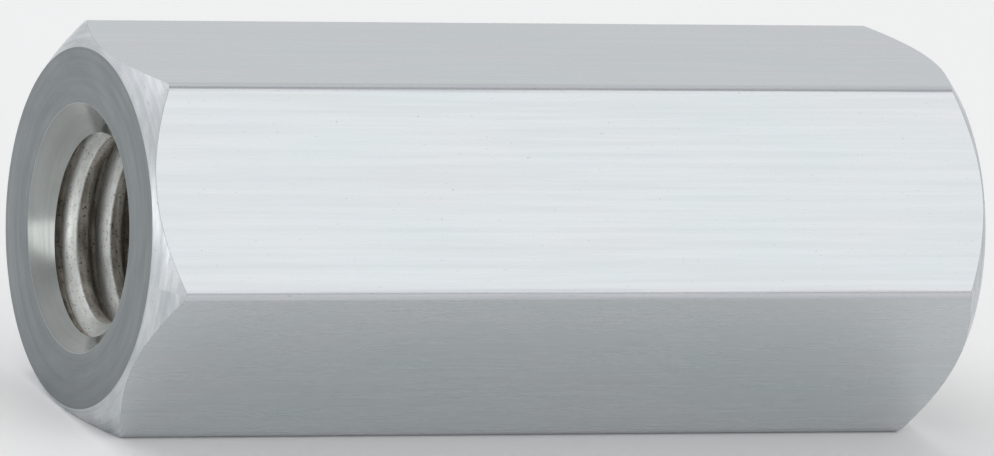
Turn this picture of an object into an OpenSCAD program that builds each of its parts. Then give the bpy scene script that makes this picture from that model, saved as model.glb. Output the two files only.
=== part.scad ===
// Coupling nut: a long hexagon nut that joins two threaded rods end to end.
// It lies on one flat: the thread runs along X and the floor is at Z = 0.

/* [Hexagon bar] */
// Length of the nut along the thread
nut_length = 25; // [10:0.5:100]
// Width across two opposite flats
across_flats = 10; // [9:0.1:20]
// Radius that drawing leaves on the bar's six long corners
corner_radius = 0.25; // [0.1:0.05:0.5]

/* [End chamfers] */
// Width of the turned end face left between the chamfer and the nearest flat
chamfer_inset = 0.125; // [0.05:0.025:0.5]
// Slope of the chamfer, measured from the end face
chamfer_angle = 41; // [15:1:45]

/* [Threaded hole] */
// Minor diameter of the thread, on its crests
minor_d = 5.1; // [1.5:0.05:5.5]
// Diameter of the countersink where it meets the end face
countersink_d = 6.75; // [5.8:0.05:8.4]
// Full angle of the countersink
countersink_angle = 100; // [60:5:120]

/* [Hidden] */
sides = 6;
// Fineness of round surfaces
round_facets = 96;
corner_facets = 32;
// Room that cutting shapes run past the faces they cut
overrun = 1;
// The corner arcs stand this hair past the flats, so that the two cross instead of only touching
arc_overlap = 0.0001;
steel_colour = [0.80, 0.82, 0.84];

half_length = nut_length / 2;
apothem = across_flats / 2;
axis_height = apothem;
sharp_corner_r = apothem / cos(180 / sides);
// Centres of the corner arcs: as far from both flats as the arc's radius
arc_centre_r = (apothem - corner_radius) / cos(180 / sides);

end_face_r = apothem - chamfer_inset;
// The chamfer cone is carried on past the corners of the bar
chamfer_r = sharp_corner_r + overrun;
chamfer_run = (chamfer_r - end_face_r) * tan(chamfer_angle);

bore_r = minor_d / 2;
countersink_r = countersink_d / 2;
countersink_slope = tan(countersink_angle / 2);
countersink_depth = (countersink_r - bore_r) / countersink_slope;

// The bar's section: a hexagon whose corners end where their arcs begin, and the arcs
module bar_section() {
    flat_half = arc_centre_r * sin(180 / sides);
    corner_points = [
        for (i = [0 : sides - 1], side = [-1, 1])
            let (turn = i * 360 / sides)
            [
                apothem * cos(turn) - side * flat_half * sin(turn),
                apothem * sin(turn) + side * flat_half * cos(turn)
            ]
    ];
    polygon(corner_points);
    for (i = [0 : sides - 1])
        rotate((i + 0.5) * 360 / sides)
            translate([arc_centre_r, 0])
                circle(r = corner_radius + arc_overlap, $fn = corner_facets);
}

// Drawn bar along Z, centred on the origin
module drawn_bar() {
    linear_extrude(height = nut_length, center = true) bar_section();
}

// What the lathe leaves: a round blank with both ends turned to the chamfer cone
module chamfer_envelope() {
    rotate_extrude($fn = round_facets)
        polygon([
            [0, -half_length],
            [end_face_r, -half_length],
            [chamfer_r, chamfer_run - half_length],
            [chamfer_r, half_length - chamfer_run],
            [end_face_r, half_length],
            [0, half_length]
        ]);
}

// Hole at the thread's minor diameter, opened by a countersink at each end
module threaded_hole() {
    mouth_r = countersink_r + overrun * countersink_slope;
    rotate_extrude($fn = round_facets)
        polygon([
            [0, -half_length - overrun],
            [mouth_r, -half_length - overrun],
            [bore_r, countersink_depth - half_length],
            [bore_r, half_length - countersink_depth],
            [mouth_r, half_length + overrun],
            [0, half_length + overrun]
        ]);
}

module coupling_nut() {
    color(steel_colour)
        translate([0, 0, axis_height])
            rotate([0, 90, 0])
                difference() {
                    intersection() {
                        drawn_bar();
                        chamfer_envelope();
                    }
                    threaded_hole();
                }
}

coupling_nut();
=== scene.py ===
"""Coupling nut: the looks of a long hexagon nut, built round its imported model.

Cold drawn hexagon bar is faced and chamfered at both ends, drilled, countersunk and zinc plated, and its
thread is tapped right through. The classes below follow that order of work. Lengths are in millimetres
until a mesh is made, which is in metres.
"""

import logging
import math
from dataclasses import dataclass, field
from enum import IntEnum

import bpy
from mathutils import Matrix, Vector


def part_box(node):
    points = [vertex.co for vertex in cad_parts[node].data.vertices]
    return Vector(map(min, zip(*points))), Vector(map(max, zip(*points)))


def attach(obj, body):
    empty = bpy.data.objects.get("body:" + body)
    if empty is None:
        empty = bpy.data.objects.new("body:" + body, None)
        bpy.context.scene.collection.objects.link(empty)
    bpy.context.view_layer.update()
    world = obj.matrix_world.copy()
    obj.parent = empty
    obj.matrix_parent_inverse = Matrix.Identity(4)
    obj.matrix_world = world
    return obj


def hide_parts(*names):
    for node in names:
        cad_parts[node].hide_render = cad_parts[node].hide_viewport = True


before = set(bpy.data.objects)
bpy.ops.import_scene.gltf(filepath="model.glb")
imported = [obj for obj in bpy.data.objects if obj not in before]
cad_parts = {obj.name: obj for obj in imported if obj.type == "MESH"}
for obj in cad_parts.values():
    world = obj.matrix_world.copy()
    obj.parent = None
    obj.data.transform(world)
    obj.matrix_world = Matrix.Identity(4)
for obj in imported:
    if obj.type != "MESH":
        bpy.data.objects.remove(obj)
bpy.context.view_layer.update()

LOG = logging.getLogger("coupling_nut")
MM = 0.001
FULL_TURN = 2 * math.pi
# Faces that meet at more than this angle, in degrees, keep a sharp edge between them
SHARP_ANGLE = 32
NODE_NAME = "coupling_nut"


class Surface(IntEnum):
    """The surfaces that the tools leave on the nut, in the order of its material slots."""

    FLAT = 0
    CORNER = 1
    CHAMFER = 2
    END_FACE = 3
    COUNTERSINK = 4
    CREST = 5
    FLANK = 6
    ROOT = 7
    EDGE = 8


# ---------------------------------------------------------------- materials

# How the patterns are read. A noise is around a half, and seldom more than 0.2 from it
NOISE_DETAIL = 3.0
NOISE_MIDDLE = 0.5
# How far below and above the middle a cloud of contrast 1 is clear and fully tinted
CLOUD_REACH = 0.25
# The broad bands among a tool's lines, as multiples of one line's length and spacing
BAND_LENGTH = 3
BAND_SPACING = 4
# The share of the fine lines that is added to the bands, and the ends of that sum's range for the tone
# and for the gloss
LINE_SHARE = 0.6
TONE_RANGE = (0.65, 1.05)
GLOSS_RANGE = (0.6, 1.0)
# A speck shows where its noise is above a threshold, which is out of reach for a share of 0, comes down
# by the reach for a share of 1, and has a soft edge
SPECK_CEILING = 0.72
SPECK_REACH = 0.22
SPECK_EDGE = 0.05


def linear(hex_colour: str) -> tuple[float, float, float, float]:
    """Turn an sRGB hex colour into the linear colour that Blender's sockets take.

    Args:
        hex_colour: a colour such as "#C8CCD0".

    Returns:
        Linear red, green, blue and an alpha of 1.
    """
    parts = [int(hex_colour[i : i + 2], 16) / 255 for i in (1, 3, 5)]
    red, green, blue = [c / 12.92 if c <= 0.04045 else ((c + 0.055) / 1.055) ** 2.4 for c in parts]
    return red, green, blue, 1.0


@dataclass
class NodeGraph:
    """A node tree, with one call that adds a node.

    Attributes:
        tree: the tree that the nodes go into.
    """

    tree: bpy.types.NodeTree

    def add(self, kind: str, settings: dict | None = None, **inputs: object) -> bpy.types.Node:
        """Add a node, set it up and join its inputs.

        Args:
            kind: Blender's name for the node's class, such as "ShaderNodeMath".
            settings: the node's own properties.
            inputs: input names with _ for a space, or their numbers as "i0", each with a value or an
                output socket.

        Returns:
            The new node.
        """
        node = self.tree.nodes.new(kind)
        for name, value in (settings or {}).items():
            setattr(node, name, value)
        for name, value in inputs.items():
            numbered = name[0] == "i" and name[1:].isdigit()
            socket = node.inputs[int(name[1:])] if numbered else node.inputs[name.replace("_", " ")]
            if isinstance(value, bpy.types.NodeSocket):
                self.tree.links.new(value, socket)
            else:
                socket.default_value = value
        return node


@dataclass(frozen=True)
class Marks:
    """The lines that a tool leaves.

    Attributes:
        spacing: distance between two lines, mm.
        length: how far a line runs before it fades, mm.
        depth: height of the lines as bump, mm.
        tone: share of the worn colour that the deepest lines show, 0 to 1.
    """

    spacing: float
    length: float
    depth: float
    tone: float


@dataclass(frozen=True)
class Clouds:
    """Slow changes of tint in the plating.

    Attributes:
        size: width of a cloud across the tool's marks, mm.
        stretch: how many times longer than wide a cloud is.
        contrast: how sharply a cloud stands out, 1 for a soft blend.
    """

    size: float
    stretch: float = 1.0
    contrast: float = 1.0


@dataclass(frozen=True)
class Specks:
    """Small pits and stains.

    Attributes:
        size: width of a speck, mm.
        share: how much of the surface they take, 0 to 1.
        depth: depth of the pits as bump, mm.
        colour: what the pits hold, sRGB hex.
    """

    size: float
    share: float
    depth: float
    colour: str


@dataclass(frozen=True)
class SteelFinish:
    """A steel surface, as one tool left it.

    Attributes:
        name: the material's name, for the metal and the process.
        clean: colour of the clean metal, sRGB hex.
        tint: colour in the middle of a cloud, sRGB hex.
        worn: colour in the bottom of the tool's lines, sRGB hex.
        roughness: middle of the roughness.
        swing: how far the roughness goes either side of its middle.
        marks: the tool's lines.
        clouds: the changes of tint.
        specks: the pits and stains.
        anisotropy: how far the lines spread a reflection round the axis, 0 for not at all.
        bare: share of the metal that no oil or dust hides, 0 to 1.
    """

    name: str
    clean: str
    tint: str
    worn: str
    roughness: float
    swing: float
    marks: Marks
    clouds: Clouds
    specks: Specks
    anisotropy: float = 0.0
    bare: float = 1.0

    def lay(self, graph: NodeGraph) -> bpy.types.NodeSocket:
        """Give the place in mm, along the tool's lines on X and across them on Y and Z."""
        raise NotImplementedError

    def noise(
        self, graph: NodeGraph, lay: bpy.types.NodeSocket, length: float, width: float
    ) -> bpy.types.NodeSocket:
        """Add a noise with features of the given size.

        Args:
            graph: the material's nodes.
            lay: the vector from lay().
            length: size of a feature along the tool's lines, mm.
            width: size of a feature across them, mm.

        Returns:
            The noise, around a half.
        """
        scale = (1 / length, 1 / width, 1 / width)
        sized = graph.add("ShaderNodeVectorMath", {"operation": "MULTIPLY"}, i0=lay, i1=scale)
        pattern = graph.add(
            "ShaderNodeTexNoise", None, Vector=sized.outputs[0], Scale=1.0, Detail=NOISE_DETAIL
        )
        return pattern.outputs["Fac"]

    def blend(
        self, graph: NodeGraph, share: bpy.types.NodeSocket, under: bpy.types.NodeSocket | str, over: str
    ) -> bpy.types.NodeSocket:
        """Lay one colour over another.

        Args:
            graph: the material's nodes.
            share: how much of the upper colour shows, 0 to 1.
            under: the lower colour, as a socket or as sRGB hex.
            over: the upper colour, sRGB hex.

        Returns:
            The blended colour.
        """
        mix = graph.add("ShaderNodeMix", {"data_type": "RGBA"}, i0=share, i7=linear(over))
        if isinstance(under, str):
            mix.inputs[6].default_value = linear(under)
        else:
            graph.tree.links.new(under, mix.inputs[6])
        return mix.outputs[2]

    def material(self) -> bpy.types.Material:
        """Build the finish as a node material.

        Returns:
            The material.
        """
        material = bpy.data.materials.new(self.name)
        material.use_nodes = True
        material.node_tree.nodes.clear()
        graph = NodeGraph(material.node_tree)
        lay = self.lay(graph)
        lines = self.noise(graph, lay, self.marks.length, self.marks.spacing)
        bands = self.noise(graph, lay, BAND_LENGTH * self.marks.length, BAND_SPACING * self.marks.spacing)
        clouds = self.noise(graph, lay, self.clouds.size * self.clouds.stretch, self.clouds.size)
        grains = self.noise(graph, lay, self.specks.size, self.specks.size)
        soft = CLOUD_REACH / self.clouds.contrast
        cloud = graph.add(
            "ShaderNodeMapRange",
            None,
            Value=clouds,
            From_Min=NOISE_MIDDLE - soft,
            From_Max=NOISE_MIDDLE + soft,
        )
        ruled = graph.add("ShaderNodeMath", {"operation": "MULTIPLY_ADD"}, i0=lines, i1=LINE_SHARE, i2=bands)
        depth = graph.add(
            "ShaderNodeMapRange",
            None,
            Value=ruled.outputs[0],
            From_Min=TONE_RANGE[0],
            From_Max=TONE_RANGE[1],
            To_Max=self.marks.tone,
        )
        threshold = SPECK_CEILING - SPECK_REACH * math.sqrt(self.specks.share)
        speck = graph.add(
            "ShaderNodeMapRange", None, Value=grains, From_Min=threshold, From_Max=threshold + SPECK_EDGE
        )
        tinted = self.blend(graph, cloud.outputs[0], self.clean, self.tint)
        ruled_colour = self.blend(graph, depth.outputs[0], tinted, self.worn)
        colour = self.blend(graph, speck.outputs[0], ruled_colour, self.specks.colour)
        gloss = graph.add(
            "ShaderNodeMapRange",
            None,
            Value=ruled.outputs[0],
            From_Min=GLOSS_RANGE[0],
            From_Max=GLOSS_RANGE[1],
            To_Min=self.roughness - self.swing,
            To_Max=self.roughness + self.swing,
        )
        sunk = graph.add(
            "ShaderNodeMath",
            {"operation": "MULTIPLY_ADD"},
            i0=speck.outputs[0],
            i1=-self.specks.depth / self.marks.depth,
            i2=lines,
        )
        relief = graph.add("ShaderNodeBump", None, Height=sunk.outputs[0], Distance=self.marks.depth * MM)
        round_axis = graph.add("ShaderNodeTangent", {"direction_type": "RADIAL", "axis": "X"})
        shader = graph.add(
            "ShaderNodeBsdfPrincipled",
            None,
            Metallic=self.bare,
            Base_Color=colour,
            Roughness=gloss.outputs[0],
            Normal=relief.outputs[0],
            Anisotropic=self.anisotropy,
            Tangent=round_axis.outputs[0],
        )
        graph.add("ShaderNodeOutputMaterial", None, Surface=shader.outputs[0])
        return material


@dataclass(frozen=True)
class DrawnFinish(SteelFinish):
    """Cold drawn bar: the die leaves fine lines along it, which give a satin sheen across the flats."""

    def lay(self, graph: NodeGraph) -> bpy.types.NodeSocket:
        """Run the lines along the bar.

        Args:
            graph: the material's nodes.

        Returns:
            The place on the nut, in mm.
        """
        place = graph.add("ShaderNodeTexCoord")
        in_mm = graph.add(
            "ShaderNodeVectorMath", {"operation": "SCALE"}, i0=place.outputs["Object"], Scale=1 / MM
        )
        return in_mm.outputs[0]


@dataclass(frozen=True)
class TurnedFinish(SteelFinish):
    """Cut by a tool that goes round the axis, which leaves rings.

    Attributes:
        axis_height: height of the nut's axis, mm.
    """

    axis_height: float = 5.0

    def lay(self, graph: NodeGraph) -> bpy.types.NodeSocket:
        """Run the lines round the axis.

        Args:
            graph: the material's nodes.

        Returns:
            The way round the axis on X, the distance from it on Y and the place along it on Z, in mm.
        """
        place = graph.add("ShaderNodeTexCoord")
        centred = graph.add(
            "ShaderNodeVectorMath",
            {"operation": "MULTIPLY_ADD"},
            i0=place.outputs["Object"],
            i1=(1 / MM, 1 / MM, 1 / MM),
            i2=(0, 0, -self.axis_height),
        )
        parts = graph.add("ShaderNodeSeparateXYZ", None, Vector=centred.outputs[0])
        angle = graph.add(
            "ShaderNodeMath", {"operation": "ARCTAN2"}, i0=parts.outputs["Z"], i1=parts.outputs["Y"]
        )
        section = graph.add("ShaderNodeCombineXYZ", None, Y=parts.outputs["Y"], Z=parts.outputs["Z"])
        radius = graph.add("ShaderNodeVectorMath", {"operation": "LENGTH"}, i0=section.outputs[0])
        way_round = graph.add(
            "ShaderNodeMath", {"operation": "MULTIPLY"}, i0=angle.outputs[0], i1=radius.outputs["Value"]
        )
        out = graph.add(
            "ShaderNodeCombineXYZ",
            None,
            X=way_round.outputs[0],
            Y=radius.outputs["Value"],
            Z=parts.outputs["X"],
        )
        return out.outputs[0]


def finishes() -> dict[Surface, SteelFinish]:
    """List the finish of each surface.

    Returns:
        One finish for each surface.
    """
    return {
        # Bright zinc over cold drawn free-cutting steel: cool silver with a faint bloom. The die's lines are
        # about 0.01 mm apart, and are drawn at 0.05 mm so that they show.
        Surface.FLAT: DrawnFinish(
            "bright_zinc_on_drawn_steel",
            clean="#CBD2D4",
            tint="#D0D2D5",
            worn="#BABFC1",
            roughness=0.28,
            swing=0.03,
            marks=Marks(0.05, 3.0, 0.0004, 0.17),
            clouds=Clouds(1.2, 4.0),
            specks=Specks(0.07, 0.005, 0.001, "#ADB1B5"),
            anisotropy=0.1,
        ),
        # The same bar's corners, burnished by the die: a little smoother, with stronger lines along them.
        Surface.CORNER: DrawnFinish(
            "bright_zinc_on_drawn_corner",
            clean="#CBD0D3",
            tint="#CFCED2",
            worn="#B6BCC1",
            roughness=0.26,
            swing=0.05,
            marks=Marks(0.04, 4.0, 0.0005, 0.5),
            clouds=Clouds(0.8, 6.0),
            specks=Specks(0.06, 0.04, 0.001, "#A6ACB0"),
            anisotropy=0.1,
        ),
        # Zinc over a form-turned chamfer: bright, with frosty white patches where the plating built up. The
        # tool's rings are about 0.02 mm apart, and are drawn at 0.06 mm.
        Surface.CHAMFER: TurnedFinish(
            "bright_zinc_on_turned_chamfer",
            clean="#C5CACD",
            tint="#D9DBDE",
            worn="#ADB3B8",
            roughness=0.36,
            swing=0.07,
            marks=Marks(0.06, 2.0, 0.001, 0.55),
            clouds=Clouds(0.35, 2.5, 2.0),
            specks=Specks(0.06, 0.05, 0.0015, "#949A9D"),
        ),
        # Zinc over a faced end, with faint rings and darker stains, its colour darkened to a dull blue-grey
        # as painted shade.
        Surface.END_FACE: TurnedFinish(
            "faced_steel_zinc_with_painted_shade",
            clean="#8E9395",
            tint="#83898B",
            worn="#777D7F",
            roughness=0.4,
            swing=0.05,
            marks=Marks(0.05, 2.5, 0.0008, 0.3),
            clouds=Clouds(0.6, 2.0, 1.3),
            specks=Specks(0.08, 0.04, 0.001, "#707678"),
        ),
        # A smooth countersink, cut by a piloted tool: it mirrors its surroundings in broad patches, and its
        # colour is darkened to a grey as painted shade in the hole's mouth.
        Surface.COUNTERSINK: TurnedFinish(
            "countersunk_steel_zinc_with_painted_shade",
            clean="#9B9F9D",
            tint="#919491",
            worn="#848783",
            roughness=0.19,
            swing=0.03,
            marks=Marks(0.08, 3.0, 0.0004, 0.35),
            clouds=Clouds(0.7, 2.0),
            specks=Specks(0.06, 0.03, 0.001, "#848582"),
        ),
        # The drilled wall left on the thread's crests: scored round, brown-grey in patches where cutting oil
        # and dust hide most of the metal, and darkened as painted shade inside the bore.
        Surface.CREST: TurnedFinish(
            "drilled_steel_with_oil_stain_and_painted_shade",
            clean="#DCD8CF",
            tint="#A19A8F",
            worn="#6E675E",
            roughness=0.5,
            swing=0.08,
            marks=Marks(0.07, 1.2, 0.003, 0.6),
            clouds=Clouds(0.25, 3.0, 2.0),
            specks=Specks(0.06, 0.2, 0.003, "#3A342E"),
            bare=0.25,
        ),
        # The tapped flank that faces out of the left end: torn metal speckled with pits, kept pale as
        # painted light from that end, against the darkened flank that faces away.
        Surface.FLANK: TurnedFinish(
            "tapped_steel_flank_painted_light",
            clean="#D8DAD8",
            tint="#C3C5C2",
            worn="#B6B7B3",
            roughness=0.44,
            swing=0.06,
            marks=Marks(0.05, 0.5, 0.002, 0.5),
            clouds=Clouds(0.2, 2.0),
            specks=Specks(0.06, 0.2, 0.003, "#96938D"),
        ),
        # The groove's bottom and the flank that faces away from the left end: painted shade, dark brown with
        # little metal showing, darker than the flank that faces the left end.
        Surface.ROOT: TurnedFinish(
            "tapped_steel_root_painted_shade",
            clean="#BDB7AC",
            tint="#827B70",
            worn="#5E574E",
            roughness=0.5,
            swing=0.08,
            marks=Marks(0.06, 1.0, 0.003, 0.6),
            clouds=Clouds(0.2, 3.0, 2.0),
            specks=Specks(0.06, 0.2, 0.003, "#312B26"),
            bare=0.25,
        ),
        # The broken edges: rubbed bright by other nuts in the box, with dark nicks through the zinc.
        Surface.EDGE: TurnedFinish(
            "rubbed_zinc_on_steel_edge",
            clean="#BEC3C5",
            tint="#B0B4B8",
            worn="#9DA3A6",
            roughness=0.36,
            swing=0.08,
            marks=Marks(0.05, 0.4, 0.002, 0.5),
            clouds=Clouds(0.3, 2.0, 2.0),
            specks=Specks(0.1, 0.08, 0.003, "#72777A"),
        ),
    }


# ---------------------------------------------------------------- the nut


@dataclass(frozen=True)
class Corner:
    """A corner of a section, given as a distance along the axis and a radius from it, in mm.

    Attributes:
        along: place along the axis.
        radius: distance from the axis.
        rounding: radius of the edge break at this corner, 0 for a sharp one.
        surface: what follows the corner, up to the next one.
    """

    along: float
    radius: float
    rounding: float
    surface: Surface


@dataclass
class Grid:
    """Points and faces of a mesh under construction, in mm, with a surface for each face."""

    points: list[tuple[float, float, float]] = field(default_factory=list)
    faces: list[tuple[int, ...]] = field(default_factory=list)
    surfaces: list[Surface] = field(default_factory=list)

    def to_object(self, name: str, lift: float, materials: list[bpy.types.Material]) -> bpy.types.Object:
        """Make a mesh object in metres, with its points raised by lift mm.

        Args:
            name: the object's name.
            lift: height of the nut's axis.
            materials: one material for each surface.

        Returns:
            The new object, linked to the scene.
        """
        mesh = bpy.data.meshes.new(name)
        mesh.from_pydata([(x * MM, y * MM, (z + lift) * MM) for x, y, z in self.points], [], self.faces)
        for material in materials:
            mesh.materials.append(material)
        mesh.polygons.foreach_set("material_index", [int(s) for s in self.surfaces])
        mesh.update()
        made = bpy.data.objects.new(name, mesh)
        bpy.context.scene.collection.objects.link(made)
        return made


@dataclass
class Tap:
    """A right-hand tap that cuts the thread from end to end, as one helical body.

    Attributes:
        pitch: distance between two turns, mm.
        minor_radius: radius of the drilled hole, where the crests are.
        root_radius: radius at the bottom of the grooves.
        flank_angle: angle of a flank from a plane across the axis, degrees.
        crest_break: height of the small slope that breaks a crest's edge.
        break_angle: angle of that slope from a plane across the axis, degrees.
        start: place of a groove's middle at the wall furthest along +Y, from the nut's left end.
        run_out: how far the tap goes past each end, in pitches.
        clear_share: how far inside the drilled wall the slopes start, as a share of crest_break.
        back_share: how far inside it the tap's back lies, as a multiple of crest_break.
        steps_per_turn: how many sections make one turn.
        root_steps: how many flats make up the rounded root.
    """

    pitch: float = 1.0
    minor_radius: float = 2.55
    root_radius: float = 3.03
    flank_angle: float = 30.0
    crest_break: float = 0.03
    break_angle: float = 60.0
    start: float = 0.8
    run_out: float = 1.5
    clear_share: float = 0.4
    back_share: float = 3.0
    steps_per_turn: int = 120
    root_steps: int = 4

    def section(self) -> list[tuple[float, float, Surface]]:
        """List the groove's section as places along the axis, from the groove's middle, and radii.

        The root is an arc that touches the root radius, and the flanks leave it without a corner.

        Returns:
            The section's points, each with the surface that follows it.
        """
        slope = math.tan(math.radians(self.flank_angle))
        # A metric thread's root is an eighth of the pitch wide
        root_half = self.pitch / 16
        root_rounding = root_half / slope
        arc_half = math.radians(90 - self.flank_angle)
        arc = []
        for step in range(self.root_steps + 1):
            turn = arc_half * (2 * step / self.root_steps - 1)
            radius = self.root_radius - root_rounding * (1 - math.cos(turn))
            surface = Surface.ROOT if step < self.root_steps else Surface.FLANK
            arc.append((root_rounding * math.sin(turn), radius, surface))
        flank_foot = self.minor_radius + self.crest_break
        flank_half = root_half + (self.root_radius - flank_foot) * slope
        # The slopes start in the open hole, so that they cross its wall instead of ending on it
        clear = self.clear_share * self.crest_break
        break_half = flank_half + (self.crest_break + clear) * math.tan(math.radians(self.break_angle))
        inside = self.minor_radius - self.back_share * self.crest_break
        # Painted light and shade: the flank that faces the left end takes the pale flank surface, the other
        # the dark root surface
        left = [
            (-break_half, inside, Surface.FLANK),
            (-break_half, self.minor_radius - clear, Surface.CREST),
            (-flank_half, flank_foot, Surface.ROOT),
        ]
        right = [
            (flank_half, flank_foot, Surface.FLANK),
            (break_half, self.minor_radius - clear, Surface.FLANK),
            (break_half, inside, Surface.FLANK),
        ]
        return left + arc + right

    def body(self, half_length: float) -> Grid:
        """Sweep the section along the helix, past both ends of the nut.

        Args:
            half_length: half of the nut's length.

        Returns:
            The closed cutting body.
        """
        grid = Grid()
        section = self.section()
        count = len(section)
        first = -half_length + self.start
        past = self.run_out * self.pitch
        before = math.ceil((self.start + past) / self.pitch)
        turns = before + math.ceil((2 * half_length - self.start + past) / self.pitch)
        steps = turns * self.steps_per_turn
        for step in range(steps + 1):
            turned = step / self.steps_per_turn - before
            cosine = math.cos(turned * FULL_TURN)
            sine = math.sin(turned * FULL_TURN)
            for offset, radius, _ in section:
                grid.points.append((first + turned * self.pitch + offset, radius * cosine, radius * sine))
        for step in range(steps):
            low = step * count
            high = low + count
            for k in range(count):
                following = (k + 1) % count
                grid.faces.append((low + k, high + k, high + following, low + following))
                grid.surfaces.append(section[k][2])
        grid.faces.append(tuple(range(count)))
        grid.faces.append(tuple(steps * count + k for k in reversed(range(count))))
        grid.surfaces += [Surface.ROOT, Surface.ROOT]
        return grid


@dataclass
class CouplingNut:
    """The nut: a hexagon bar on its side, its axis along X.

    Attributes:
        length: length along the axis, mm.
        across_flats: width across two opposite flats.
        corner_radius: rounding of the bar's long corners.
        face_inset: how far the turned end faces' rims stay inside the flats.
        chamfer_angle: slope of the end chamfers from the end face, degrees.
        countersink_radius: radius of the countersinks at the end faces.
        countersink_half_angle: slope of the countersinks from the axis, degrees.
        edge_break: radius of the break on turned edges.
        flat_columns: sections across each flat.
        corner_columns: sections round each long corner.
        break_steps: flats that make up one edge break.
        tap: the tap that cuts its thread.
    """

    length: float
    across_flats: float
    corner_radius: float = 0.33
    face_inset: float = 0.125
    chamfer_angle: float = 41.0
    countersink_radius: float = 3.375
    countersink_half_angle: float = 50.0
    edge_break: float = 0.015
    flat_columns: int = 40
    corner_columns: int = 8
    break_steps: int = 3
    tap: Tap = field(default_factory=Tap)

    @property
    def half_length(self) -> float:
        """Half of the nut's length."""
        return self.length / 2

    @property
    def apothem(self) -> float:
        """Distance from the axis to a flat."""
        return self.across_flats / 2

    def columns(self) -> list[tuple[float, float, bool]]:
        """List the section's points round the axis.

        Returns:
            For each point its angle from +Y toward +Z, its distance from the axis, and whether what follows
            it belongs to a rounded corner.
        """
        sixth = math.pi / 3
        arc_centre = (self.apothem - self.corner_radius) / math.cos(sixth / 2)
        flat_half = arc_centre * math.sin(sixth / 2)
        points = []
        for side in range(6):
            normal = side * sixth + sixth / 2
            edge = math.atan2(flat_half, self.apothem)
            for i in range(self.flat_columns):
                turn = edge * (2 * i / self.flat_columns - 1)
                points.append((normal + turn, self.apothem / math.cos(turn), False))
            for i in range(self.corner_columns):
                around = sixth * (i / self.corner_columns - 0.5)
                out = arc_centre + self.corner_radius * math.cos(around)
                across = self.corner_radius * math.sin(around)
                points.append((normal + sixth / 2 + math.atan2(across, out), math.hypot(out, across), True))
        return points

    def corners(self, outer: float, rounded: bool) -> list[Corner]:
        """List the corners of the section through the axis at one angle.

        Args:
            outer: distance from the axis to the bar's surface at that angle.
            rounded: whether the bar's surface there is a long corner.

        Returns:
            The corners of the closed section, from the left countersink's rim over the outside.
        """
        end = self.half_length
        face = self.apothem - self.face_inset
        run = (outer - face) * math.tan(math.radians(self.chamfer_angle))
        depth = (self.countersink_radius - self.tap.minor_radius) / math.tan(
            math.radians(self.countersink_half_angle)
        )
        skin = Surface.CORNER if rounded else Surface.FLAT
        left = [
            Corner(-end, self.countersink_radius, self.edge_break, Surface.END_FACE),
            Corner(-end, face, self.edge_break, Surface.CHAMFER),
            Corner(run - end, outer, self.edge_break, skin),
        ]
        right = [
            Corner(end - run, outer, self.edge_break, Surface.CHAMFER),
            Corner(end, face, self.edge_break, Surface.END_FACE),
            Corner(end, self.countersink_radius, self.edge_break, Surface.COUNTERSINK),
        ]
        bore = [
            Corner(end - depth, self.tap.minor_radius, 0.0, Surface.CREST),
            Corner(depth - end, self.tap.minor_radius, 0.0, Surface.COUNTERSINK),
        ]
        return left + right + bore

    def soften(self, corners: list[Corner]) -> list[tuple[float, float, Surface]]:
        """Round each corner that has an edge break.

        Args:
            corners: a closed section.

        Returns:
            The section's points, each with the surface that follows it.
        """
        points = []
        count = len(corners)
        for i, corner in enumerate(corners):
            before = corners[i - 1]
            after = corners[(i + 1) % count]
            here = Vector((corner.along, corner.radius))
            back = (Vector((before.along, before.radius)) - here).normalized()
            ahead = (Vector((after.along, after.radius)) - here).normalized()
            if corner.rounding == 0:
                points.append((here.x, here.y, corner.surface))
                continue
            half = back.angle(ahead) / 2
            reach = corner.rounding / math.tan(half)
            centre = here + (back + ahead).normalized() * (corner.rounding / math.sin(half))
            first = (here + back * reach - centre).normalized()
            last = (here + ahead * reach - centre).normalized()
            for step in range(self.break_steps + 1):
                spot = centre + first.slerp(last, step / self.break_steps) * corner.rounding
                points.append((spot.x, spot.y, Surface.EDGE if step < self.break_steps else corner.surface))
        return points

    def blank(self) -> Grid:
        """Build the turned and countersunk blank, with its plain drilled hole.

        Returns:
            The closed blank.
        """
        grid = Grid()
        columns = self.columns()
        rings = [self.soften(self.corners(outer, rounded)) for _, outer, rounded in columns]
        count = len(rings[0])
        for (angle, _, _), ring in zip(columns, rings):
            cosine = math.cos(angle)
            sine = math.sin(angle)
            grid.points += [(along, radius * cosine, radius * sine) for along, radius, _ in ring]
        for j, ring in enumerate(rings):
            low = j * count
            high = (j + 1) % len(rings) * count
            for k in range(count):
                following = (k + 1) % count
                grid.faces.append((low + k, high + k, high + following, low + following))
                grid.surfaces.append(ring[k][2])
        return grid

    def tapped(self, materials: list[bpy.types.Material]) -> bpy.types.Object:
        """Cut the thread into the blank.

        Args:
            materials: one material for each surface.

        Returns:
            The finished nut as one object.
        """
        nut = self.blank().to_object("nut", self.apothem, materials)
        cutter = self.tap.body(self.half_length).to_object("tap", self.apothem, materials)
        cut = nut.modifiers.new("thread", "BOOLEAN")
        cut.operation = "DIFFERENCE"
        cut.solver = "MANIFOLD"
        cut.object = cutter
        return self.settle(nut, cutter)

    def settle(self, nut: bpy.types.Object, cutter: bpy.types.Object) -> bpy.types.Object:
        """Apply the cut, smooth the shading and delete the cutter.

        Args:
            nut: the blank with its cut as a modifier.
            cutter: the tap's body.

        Returns:
            The nut with a plain mesh.
        """
        graph = bpy.context.evaluated_depsgraph_get()
        mesh = bpy.data.meshes.new_from_object(nut.evaluated_get(graph))
        nut.modifiers.clear()
        nut.data = mesh
        bpy.data.objects.remove(cutter)
        mesh.shade_smooth()
        mesh.set_sharp_from_angle(angle=math.radians(SHARP_ANGLE))
        even = nut.modifiers.new("even_normals", "WEIGHTED_NORMAL")
        even.keep_sharp = True
        return nut


# ---------------------------------------------------------------- stage


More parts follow.
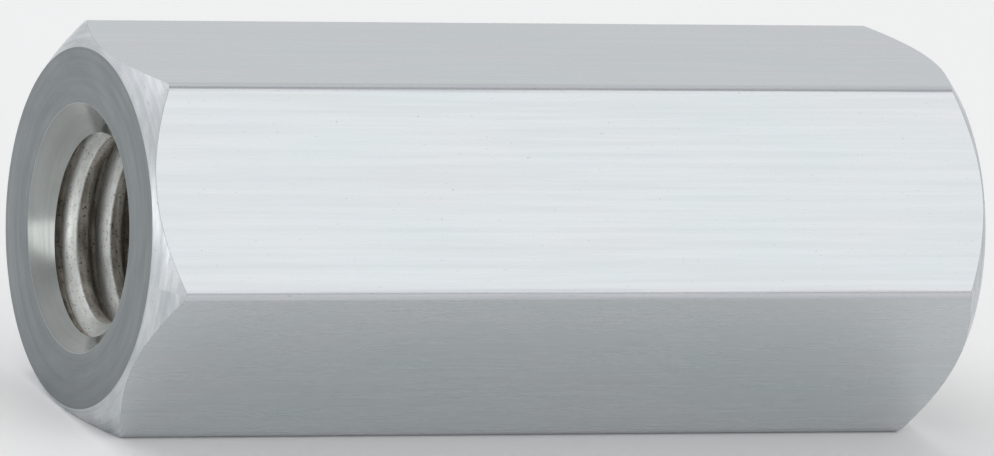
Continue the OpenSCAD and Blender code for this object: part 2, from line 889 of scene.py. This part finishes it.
@dataclass(frozen=True)
class SoftBox:
    """A square studio lamp behind cloth.

    Attributes:
        name: the lamp's name.
        azimuth: angle round the nut from straight in front toward the right end, degrees.
        elevation: angle above the floor, degrees.
        distance: from the nut, m.
        size: side of the square, m.
        brightness: how bright the cloth looks, where 1 is white.
    """

    name: str
    azimuth: float
    elevation: float
    distance: float
    size: float
    brightness: float

    def hang(self, target: Vector) -> bpy.types.Object:
        """Create the lamp, turned to face a point.

        Args:
            target: the point it faces, in metres.

        Returns:
            The lamp.
        """
        azimuth = math.radians(self.azimuth)
        elevation = math.radians(self.elevation)
        toward = Vector(
            (
                math.sin(azimuth) * math.cos(elevation),
                -math.cos(azimuth) * math.cos(elevation),
                math.sin(elevation),
            )
        )
        data = bpy.data.lights.new(self.name, "AREA")
        data.shape = "SQUARE"
        data.size = self.size
        # A flat lamp gives off pi times its brightness from each square metre
        data.energy = self.brightness * math.pi * self.size**2
        lamp = bpy.data.objects.new(self.name, data)
        lamp.location = target + toward * self.distance
        lamp.rotation_euler = toward.to_track_quat("Z", "Y").to_euler()
        lamp.visible_camera = False
        bpy.context.scene.collection.objects.link(lamp)
        return lamp


@dataclass
class Studio:
    """A white floor with a pale wall behind it, a dimmer room in front and soft boxes round the nut.

    Attributes:
        floor_size: side of the floor, m.
        floor_drop: gap that keeps the floor's plane clear of the flat that rests on it, mm.
        floor_colour: colour of the floor, sRGB hex.
        floor_glow: white added to the floor where it is seen or mirrored, 0 to 1.
        floor_roughness: roughness of the paper.
        floor_gloss: strength of the paper's own reflection, where a half is usual.
        sky_colour: colour of the surroundings, sRGB hex.
        wall_strength: brightness of the wall behind the nut, where 1 is white.
        room_strength: brightness of the room in front.
        fade: how far to the back and front the one turns into the other, as the direction's Y.
        lamps: the soft boxes.
    """

    floor_size: float = 3.0
    floor_drop: float = 0.01
    floor_colour: str = "#F6F6F6"
    floor_glow: float = 0.03
    floor_roughness: float = 0.9
    floor_gloss: float = 0.1
    sky_colour: str = "#F7F8F9"
    wall_strength: float = 0.86
    room_strength: float = 0.35
    fade: float = 0.6
    lamps: list[SoftBox] = field(
        default_factory=lambda: [
            SoftBox("front_box", azimuth=33, elevation=33, distance=1.1, size=1.1, brightness=0.93),
            SoftBox("top_box", azimuth=-140, elevation=68, distance=1.1, size=1.25, brightness=0.75),
            SoftBox("left_box", azimuth=-70, elevation=10, distance=1.2, size=0.7, brightness=1.65),
        ]
    )

    def floor(self) -> bpy.types.Object:
        """Lay the floor.

        Returns:
            The floor.
        """
        half = self.floor_size / 2
        low = -self.floor_drop * MM
        corners = [(-half, -half, low), (half, -half, low), (half, half, low), (-half, half, low)]
        mesh = bpy.data.meshes.new("floor")
        mesh.from_pydata(corners, [], [(0, 1, 2, 3)])
        # Matt white paper: no gloss to speak of, and a little glow of its own where it is seen or mirrored,
        # so that it comes out white without more light on the nut
        material = bpy.data.materials.new("matt_white_paper")
        material.use_nodes = True
        shader = material.node_tree.nodes["Principled BSDF"]
        graph = NodeGraph(material.node_tree)
        ray = graph.add("ShaderNodeLightPath")
        mirrored = graph.add(
            "ShaderNodeMath",
            {"operation": "MAXIMUM"},
            i0=ray.outputs["Is Glossy Ray"],
            i1=ray.outputs["Is Transmission Ray"],
        )
        seen = graph.add(
            "ShaderNodeMath",
            {"operation": "MAXIMUM"},
            i0=ray.outputs["Is Camera Ray"],
            i1=mirrored.outputs[0],
        )
        glow = graph.add(
            "ShaderNodeMath", {"operation": "MULTIPLY"}, i0=seen.outputs[0], i1=self.floor_glow
        )
        graph.tree.links.new(glow.outputs[0], shader.inputs["Emission Strength"])
        shader.inputs["Emission Color"].default_value = (1.0, 1.0, 1.0, 1.0)
        shader.inputs["Base Color"].default_value = linear(self.floor_colour)
        shader.inputs["Roughness"].default_value = self.floor_roughness
        shader.inputs["Specular IOR Level"].default_value = self.floor_gloss
        mesh.materials.append(material)
        made = bpy.data.objects.new("floor", mesh)
        bpy.context.scene.collection.objects.link(made)
        return made

    def sky(self) -> None:
        """Surround the nut with cloth, pale behind it and dimmer toward the front."""
        world = bpy.data.worlds.new("studio")
        bpy.context.scene.world = world
        world.use_nodes = True
        world.node_tree.nodes.clear()
        graph = NodeGraph(world.node_tree)
        place = graph.add("ShaderNodeTexCoord")
        toward = graph.add("ShaderNodeSeparateXYZ", None, Vector=place.outputs["Generated"])
        strength = graph.add(
            "ShaderNodeMapRange",
            {"interpolation_type": "SMOOTHSTEP"},
            Value=toward.outputs["Y"],
            From_Min=-self.fade,
            From_Max=self.fade,
            To_Min=self.room_strength,
            To_Max=self.wall_strength,
        )
        cloth = graph.add(
            "ShaderNodeBackground", None, Color=linear(self.sky_colour), Strength=strength.outputs[0]
        )
        graph.add("ShaderNodeOutputWorld", None, Surface=cloth.outputs[0])

    def light(self, target: Vector) -> None:
        """Hang the lamps.

        Args:
            target: the point they face, in metres.
        """
        for box in self.lamps:
            box.hang(target)
            LOG.info("%s: %.2f m, %.1f bright", box.name, box.size, box.brightness)


@dataclass
class ProductCamera:
    """A long lens that looks down on the nut from its left end.

    Attributes:
        azimuth: angle round the nut from straight in front toward the left end, degrees.
        elevation: angle above the horizon, degrees.
        roll: turn of the camera about its line of sight, degrees.
        distance: from the nut's centre, mm.
        lens: focal length, mm.
        sensor: width of the sensor, mm.
        near: what is nearer than this isn't shown, m.
        far: what is further than this isn't shown, m.
    """

    azimuth: float = 26.93
    elevation: float = 16.59
    roll: float = 8.24
    distance: float = 356.6
    lens: float = 473.1
    sensor: float = 36.0
    near: float = 0.01
    far: float = 20.0

    def set_up(self, target: Vector) -> bpy.types.Object:
        """Create the camera and make it the scene's.

        Args:
            target: the point it looks at, in metres.

        Returns:
            The camera.
        """
        azimuth = math.radians(self.azimuth)
        elevation = math.radians(self.elevation)
        back = Vector(
            (
                -math.sin(azimuth) * math.cos(elevation),
                -math.cos(azimuth) * math.cos(elevation),
                math.sin(elevation),
            )
        )
        right = (-back).cross(Vector((0, 0, 1))).normalized()
        up = back.cross(right)
        data = bpy.data.cameras.new("camera")
        data.lens = self.lens
        data.sensor_width = self.sensor
        data.clip_start = self.near
        data.clip_end = self.far
        camera = bpy.data.objects.new("camera", data)
        bpy.context.scene.collection.objects.link(camera)
        turned = Matrix.Rotation(math.radians(self.roll), 3, back)
        axes = Matrix((turned @ right, turned @ up, back)).transposed()
        camera.matrix_world = Matrix.Translation(target + back * self.distance * MM) @ axes.to_4x4()
        bpy.context.scene.camera = camera
        return camera


def main() -> None:
    """Build the nut, its finishes and the studio."""
    logging.basicConfig(level=logging.INFO, format="%(name)s: %(message)s")
    low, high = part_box(NODE_NAME)
    size = (high - low) / MM
    nut = CouplingNut(length=size.x, across_flats=size.z)
    middle = Vector((0, 0, nut.apothem * MM))
    ProductCamera().set_up(middle)
    dressed = finishes()
    made = nut.tapped([dressed[surface].material() for surface in Surface])
    made.name = "threaded_nut"
    LOG.info("threaded_nut: %d faces", len(made.data.polygons))
    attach(made, "root")
    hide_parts(NODE_NAME)
    studio = Studio()
    studio.floor()
    studio.sky()
    studio.light(middle)
    bpy.context.scene.view_settings.view_transform = "Standard"


if __name__ == "__main__":
    main()
